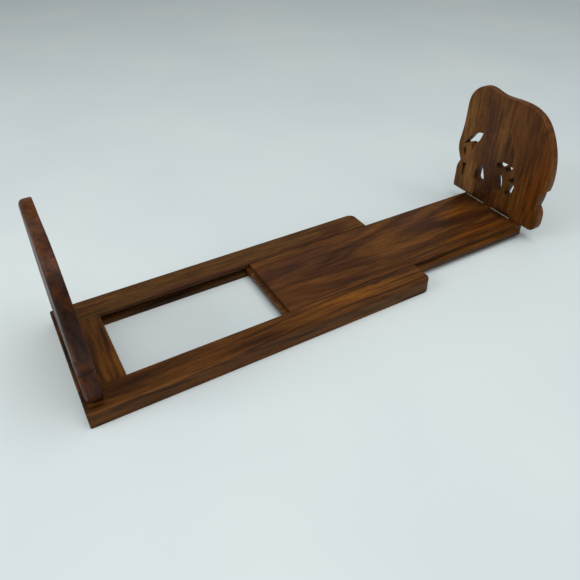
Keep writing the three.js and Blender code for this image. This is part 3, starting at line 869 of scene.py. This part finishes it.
def growth_rings(s, along, warped, heart, tilt, ring, stops, lines, seed):
    """Bands of colour round the log's heart, and a thin dark line at the end of each ring."""
    log = s.mapped(warped, [-c for c in heart], tilt)
    radius = s.math("DIVIDE", s.vector("LENGTH", s.vector("MULTIPLY", log, (0, 1, 1))), ring)
    band_noise = s.node("ShaderNodeTexNoise", {
        "W": s.math("ADD", radius, seed * 7.3), "Scale": BAND_SCALE, "Detail": 2.0, "Roughness": 0.6,
    }, noise_dimensions="1D")
    bands = s.ramp(band_noise.outputs["Fac"], stops, "B_SPLINE")

    late = s.ramp(s.math("FRACT", radius), LATE_WOOD, "LINEAR")
    fine_late = s.ramp(s.math("FRACT", s.math("MULTIPLY", radius, FINE_LINES)), FINE_LATE_WOOD, "LINEAR")
    line = s.math("MAXIMUM", late, s.math("MULTIPLY", fine_late, FINE_LINE_SHARE))
    fade = s.noise(s.mapped(along, (seed * 5, seed * 3, 0), scale=FADE_SCALE), detail=2)
    line = s.math("MULTIPLY", line, s.ramp(fade, LINE_FADE, "LINEAR"))
    return s.mix(s.math("MULTIPLY", line, lines), bands, INK)


def with_patches(s, place, colour, patches, seed):
    """The colour with soft patches of other colours over it, whose edges waver."""
    wobble = s.sway(place, (seed * 3, 0, 0), WOBBLE_SCALE, 3)
    for x, y, z, *half, shade, share in patches:
        most = min(PATCH_WOBBLE, 2 * min(half))
        wobbled = s.vector("ADD", place, s.vector("SCALE", wobble, scale=most))
        offset = s.vector("DIVIDE", s.vector("SUBTRACT", wobbled, (BASE_X + x, y, z)), half)
        near = s.ramp(s.vector("LENGTH", offset), [(0.0, 1.0), (1.0, 0.0)])
        colour = s.mix(s.math("MULTIPLY", near, share), colour, shade)
    return colour


def rosewood(name, heart, tilt, ring, stops, seed, patches, grain="X", lines=0.75, roughness=0.36,
             gloss=0.10):
    """Rosewood, sawn so that the log's heart passes through heart, tilted by tilt degrees.

    ring is the width of a growth ring in millimetres, stops the colour ramp that the rings run
    through, and lines how dark the thin late-wood lines are. A patch is its middle's x from the fixed
    end, y and z, its three half sizes, its colour and its strength. seed moves every noise by another
    amount, so that no two pieces are alike.
    """
    s = Shader(name)
    place = s.place()
    along = s.mapped(place, turn=GRAIN_TURNS[grain])
    wander = s.sway(along, (seed * 37, seed, 0), WANDER_SCALE, 2)
    ripple = s.sway(along, (seed * 11, 0, seed), RIPPLE_SCALE, 3)
    warped = s.vector("ADD", along, s.vector("SCALE", wander, scale=ring * WANDER))
    warped = s.vector("ADD", warped, s.vector("SCALE", ripple, scale=ring * RIPPLE))
    colour = growth_rings(s, along, warped, heart, tilt, ring, stops, lines, seed)
    colour = with_patches(s, place, colour, patches, seed)

    fibre = s.noise(s.mapped(along, (seed, seed * 2, 0), scale=FIBRE_SCALE), 1.0, 4, STREAK_ROUGH)
    broad = s.noise(s.mapped(warped, (seed * 4, seed * 6, 0), scale=BROAD_SCALE), 1.0, 4, STREAK_ROUGH)
    pore = s.noise(s.mapped(along, (0, seed * 9, seed), scale=PORE_SCALE), detail=1)
    pore = s.ramp(pore, PORES, "LINEAR")
    colour = s.mix(1.0, colour, s.ramp(fibre, FIBRE_SHADES, "LINEAR"), "MULTIPLY")
    colour = s.mix(1.0, colour, s.ramp(broad, BROAD_SHADES, "LINEAR"), "MULTIPLY")
    colour = s.mix(s.math("MULTIPLY", pore, PORE_DARKNESS), colour, INK)
    s.put(s.bsdf.inputs["Base Color"], colour)

    level = s.math("ADD", s.math("MULTIPLY", fibre, FIBRE_ROUGHNESS), roughness - FIBRE_ROUGHNESS / 2)
    s.put(s.bsdf.inputs["Roughness"], s.math("ADD", level, s.math("MULTIPLY", pore, PORE_ROUGHNESS)))
    s.bump(s.math("SUBTRACT", s.math("MULTIPLY", fibre, FIBRE_HEIGHT), pore), *WOOD_BUMP)
    s.bsdf.inputs["Specular IOR Level"].default_value = gloss
    return s.material


def brass(name):
    """Dull brass with darker tarnish in soft patches, and fine scratches."""
    s = Shader(name)
    place = s.place()
    tarnish = s.ramp(s.noise(place, TARNISH_SCALE, 4), TARNISH)
    roughness = s.math("ADD", s.math("MULTIPLY", tarnish, TARNISH_ROUGHNESS), BRASS_ROUGHNESS)
    s.put(s.bsdf.inputs["Base Color"], s.mix(tarnish, BRASS, TARNISHED))
    s.put(s.bsdf.inputs["Roughness"], roughness)
    s.bsdf.inputs["Metallic"].default_value = 1.0
    s.bump(s.noise(s.mapped(place, scale=SCRATCH_SCALE), detail=2), *SCRATCH_BUMP)
    return s.material


RAIL_STOPS = [(0.30, CHOCOLATE), (0.44, BROWN), (0.58, HONEY), (0.74, BROWN)]
FAR_RAIL_STOPS = [(0.30, CHOCOLATE), (0.45, BROWN), (0.60, OLIVE), (0.75, BROWN)]
BOARD_STOPS = [(0.30, CHOCOLATE), (0.48, BROWN), (0.66, HONEY)]
CROSS_STOPS = [(0.30, CHOCOLATE), (0.45, BROWN), (0.7, HONEY)]
END_STOPS = [(0.30, BROWN), (0.46, HONEY), (0.56, BROWN), (0.70, GOLD)]
LEFT_END_STOPS = [(0.32, CHOCOLATE), (0.48, PLUM), (0.58, RUST), (0.75, BROWN)]


def wood_materials():
    """The six woods. Their patches are lighter and darker areas. Several INK ones are painted shade:
    along the rounded top edge at the fixed end, in the far rail's groove, under the left bookend's foot
    and down the board's sides by the rails; the other INK ones make the wood darker round the hinges and
    in a few places. The GOLD strip along the right bookend's near rim is painted light.

    left_x and right_x are the bookends' inner faces, from the fixed end.
    """
    top = box_mm("near_rail")[1].z
    left_x = box_mm("left_bookend")[1].x - BASE_X
    right_x = box_mm("right_bookend")[0].x - BASE_X
    return {
        "near_rail": rosewood("rosewood_near_rail", heart=(BASE_X, -34, -26), tilt=(0, 2, -4),
                              ring=6.0, stops=RAIL_STOPS, seed=1.3, patches=[
            (35, -52, top, 44, 16, 10, CHOCOLATE, 0.8),
            (232, -50, top, 66, 9, 9, AMBER, 0.7),
            (138, -58, top, 52, 11, 10, CHOCOLATE, 0.85),
            (262, -45, top, 8, 3.5, 6, CHOCOLATE, 0.9),
            (260, -66, 5, 80, 3, 9, OLIVE, 0.7),
            # painted shade along the rounded top edge of the fixed end
            (0.5, -50, top, 4.5, 40, 8, INK, 0.9),
            # painted shadow on the rail under the left bookend's foot
            (9, -60.5, top, 12, 3, 4, INK, 0.9)]),
        "far_rail": rosewood("rosewood_far_rail", heart=(BASE_X, 30, -30), tilt=(0, 1, -2),
                             ring=8.0, stops=FAR_RAIL_STOPS, lines=0.45, seed=2.1, patches=[
            (120, 41, top, 95, 8, 10, PLUM, 0.8),
            (300, 53, top, 26, 14, 9, HONEY, 0.5),
            # painted shade along the rounded top edge of the fixed end
            (0.5, 50, top, 4.5, 40, 8, INK, 0.9),
            # painted shade in the far rail's groove and down its inner side
            (105, 38.5, 4, 130, 6, 10, INK, 0.95)]),
        "board": rosewood("rosewood_board", heart=(BASE_X + 600, 24, 14), tilt=(0, -6, -4), ring=7.0,
                          stops=BOARD_STOPS, seed=3.7, lines=0.45, patches=[
            (205, 12, top, 90, 30, 14, PLUM, 0.75),
            (238, -26, top, 50, 10, 12, CHOCOLATE, 0.75),
            (305, -14, top, 50, 16, 12, HONEY, 0.6),
            (318, 12, top, 26, 12, 12, HONEY, 0.45),
            (354, 14, top, 32, 22, 12, PLUM, 0.85),
            (402, 14, top, 34, 14, 12, AMBER, 0.5),
            (400, -12, top, 60, 3.5, 9, INK, 0.7),
            (405, -27, top, 60, 10, 9, RUST, 0.7),
            (445, 20, top, 12, 22, 9, INK, 0.95),
            (445, -18, top, 12, 22, 9, INK, 0.95),
            # painted shade down both sides of the board, in its gaps to the rails
            (310, 39.3, top, 260, 1.5, 5, INK, 0.85),
            (310, -39.3, top, 260, 1.5, 5, INK, 0.85)]),
        "cross": rosewood("rosewood_cross", grain="Y", heart=(0, 0, -60), tilt=(0, 0, 2), ring=6.0,
                          stops=CROSS_STOPS, lines=0.35, seed=4.4, patches=[
            (30, -24, top, 16, 24, 9, AMBER, 0.5),
            (26, 30, top, 20, 20, 9, HONEY, 0.4),
            # painted shade along the rounded top edge of the fixed end
            (0.5, 0, top, 4.5, 60, 8, INK, 0.9)]),
        "left": rosewood("rosewood_left_bookend", grain="Z", heart=(0, 60, 0), tilt=(0, 0, 3), ring=8.0,
                         stops=LEFT_END_STOPS, seed=5.9, roughness=0.40, gloss=0.14, patches=[
            (left_x - 5, -57, 12, 12, 12, 13, ASH_BROWN, 0.9),
            (left_x - 5, -57, 34, 12, 12, 14, PLUM, 0.7),
            (left_x - 5, -57, 52, 12, 8, 14, RUST, 0.7),
            (left_x - 5, -48, 96, 14, 28, 50, INK, 0.85),
            (left_x - 6, 10, 132, 14, 60, 26, BROWN, 0.8)]),
        "right": rosewood("rosewood_right_bookend", grain="Z", heart=(0, 60, 0), tilt=(0, 0, 5),
                          ring=8.0, stops=END_STOPS, lines=0.5, seed=6.2, patches=[
            (right_x, -48, 60, 14, 26, 74, RUST, 0.8),
            (right_x, 48, 78, 14, 17, 90, GOLD, 0.9),
            (right_x, 22, 92, 14, 15, 66, PLUM, 0.95),
            (right_x, 11, 56, 14, 15, 38, PLUM, 0.9),
            (right_x, 3, 100, 14, 8, 60, GOLD, 0.75),
            (right_x, 13, 26, 14, 27, 46, CHOCOLATE, 1.0),
            (right_x, 38, 32, 14, 11, 38, GOLD, 0.85),
            (right_x, -16, 46, 14, 9, 30, OLIVE, 0.6),
            # painted light: a lit strip along the right bookend's near rim
            (right_x + 6, -58, 62, 8, 4, 56, GOLD, 0.9),
            (right_x, 22, 14.5, 14, 20, 8, INK, 0.95),
            (right_x, -16, 14.5, 14, 20, 8, INK, 0.95)]),
    }


# -------- stage
CAMERA_PLACE = (4.89, -360.51, 331.33)   # from the fixed end, in millimetres
CAMERA_TURN = (38.66, 29.65, -0.54)      # down, to the right, rolled, in degrees
CAMERA_LENS = 35.35
CAMERA_SENSOR = 36.0
CAMERA_SHIFT = (-0.0189, -0.0044)

FLOOR_HALF = 4000   # in millimetres, as FLOOR_HEIGHT
FLOOR_HEIGHT = -0.1
FLOOR_SCALE = 0.004
FLOOR_SHADES = [(0.3, (0.60, 0.655, 0.665)), (0.7, (0.64, 0.69, 0.69))]
FLOOR_ROUGHNESS = 0.7
FLOOR_GLOSS = 0.2

WORLD_COLOUR = (0.92, 0.98, 1.0, 1)
WORLD_STRENGTH = 0.36
AREA_LIGHTS = [     # name, place, the point that it faces, side (all in metres), watts
    ("overhead", (0.1, -0.45, 1.4), (0, 0, 0), 1.5, 16.8),
    ("left", (-1.3, 0.1, 0.8), (-0.1, 0, 0.05), 0.9, 9.0),
]


def make_camera():
    """The camera stands in front of the fixed end, and looks down and to the right."""
    data = bpy.data.cameras.new("camera")
    data.lens = CAMERA_LENS
    data.sensor_width = CAMERA_SENSOR
    data.shift_x, data.shift_y = CAMERA_SHIFT
    camera = bpy.data.objects.new("camera", data)
    down, right, roll = (math.radians(a) for a in CAMERA_TURN)
    aim = Matrix.Rotation(-right, 4, "Z") @ Matrix.Rotation(math.pi / 2 - down, 4, "X")
    place = Vector(CAMERA_PLACE) + Vector((BASE_X, 0, 0))
    camera.matrix_world = Matrix.Translation(place * MM) @ aim @ Matrix.Rotation(roll, 4, "Z")
    bpy.context.scene.collection.objects.link(camera)
    bpy.context.scene.camera = camera


def make_floor():
    """A plain pale table top, just below the stand."""
    corners = ((-1, -1), (1, -1), (1, 1), (-1, 1))
    vertices = [(x * FLOOR_HALF, y * FLOOR_HALF, FLOOR_HEIGHT) for x, y in corners]
    floor = new_object("floor", vertices, [(0, 1, 2, 3)])
    s = Shader("pale_table")
    s.put(s.bsdf.inputs["Base Color"], s.ramp(s.noise(s.place(), FLOOR_SCALE, 2), FLOOR_SHADES))
    s.bsdf.inputs["Roughness"].default_value = FLOOR_ROUGHNESS
    s.bsdf.inputs["Specular IOR Level"].default_value = FLOOR_GLOSS
    floor.data.materials.append(s.material)


def make_lights():
    """An even background and two large soft lights."""
    world = bpy.data.worlds.new("studio")
    bpy.context.scene.world = world
    world.use_nodes = True
    background = world.node_tree.nodes["Background"]
    background.inputs["Color"].default_value = WORLD_COLOUR
    background.inputs["Strength"].default_value = WORLD_STRENGTH
    for name, place, target, side, power in AREA_LIGHTS:
        data = bpy.data.lights.new(name, "AREA")
        data.size = side
        data.energy = power
        light = bpy.data.objects.new(name, data)
        light.location = place
        light.rotation_mode = "QUATERNION"
        light.rotation_quaternion = (Vector(target) - Vector(place)).to_track_quat("-Z", "Y")
        bpy.context.scene.collection.objects.link(light)


# -------- assembly
def finish_piece(obj, body, slot, material, *nodes):
    """Gives a piece its material, and says what it rides on and what it replaces; slot is not used."""
    obj.data.materials.clear()
    obj.data.materials.append(material)
    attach(obj, body)
    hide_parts(*nodes)


def body_of(node):
    """The body that a CAD hinge or screw node rides on."""
    if "_bookend_" in node:
        return f"{node.split('_')[0]}_bookend"
    return "slider" if node.startswith(("right", "slider")) else "base"


def add_metal():
    """The hinges and all the screws."""
    metal = brass("hinge_brass")
    for node in nodes_named("hinge", "_leaf"):
        part = "bookend" if "bookend" in node else "base"
        finish_piece(hinge_leaf(node, part), body_of(node), "hinge_brass", metal, node)
    for node in nodes_named("hinge", "_pin"):
        finish_piece(hinge_pin(node), body_of(node), "hinge_brass", metal, node)
    for node in nodes_named("_screw_"):
        up = "hinge" not in node or "bookend" in node
        finish_piece(wood_screw(node, up), body_of(node), "screw_brass", metal, node)
    finish_piece(stop_screw("slider_stop_screw"), "slider", "screw_brass", metal, "slider_stop_screw")


make_camera()
make_floor()
make_lights()
woods = wood_materials()
finish_piece(rail("near_rail", -1), "base", "rail_rosewood", woods["near_rail"], "near_rail")
finish_piece(rail("far_rail", 1), "base", "rail_rosewood", woods["far_rail"], "far_rail")
finish_piece(cross_piece(), "base", "cross_rosewood", woods["cross"], "cross_piece")
finish_piece(slider_board(), "slider", "board_rosewood", woods["board"], "slider_board")
finish_piece(bookend("left", -1), "left_bookend", "bookend_rosewood", woods["left"], "left_bookend")
finish_piece(bookend("right", 1), "right_bookend", "bookend_rosewood", woods["right"], "right_bookend")

finish_piece(tie_batten(), "base", "rail_rosewood", woods["far_rail"], "tie_batten")
add_metal()

bpy.context.scene.view_settings.view_transform = "Standard"
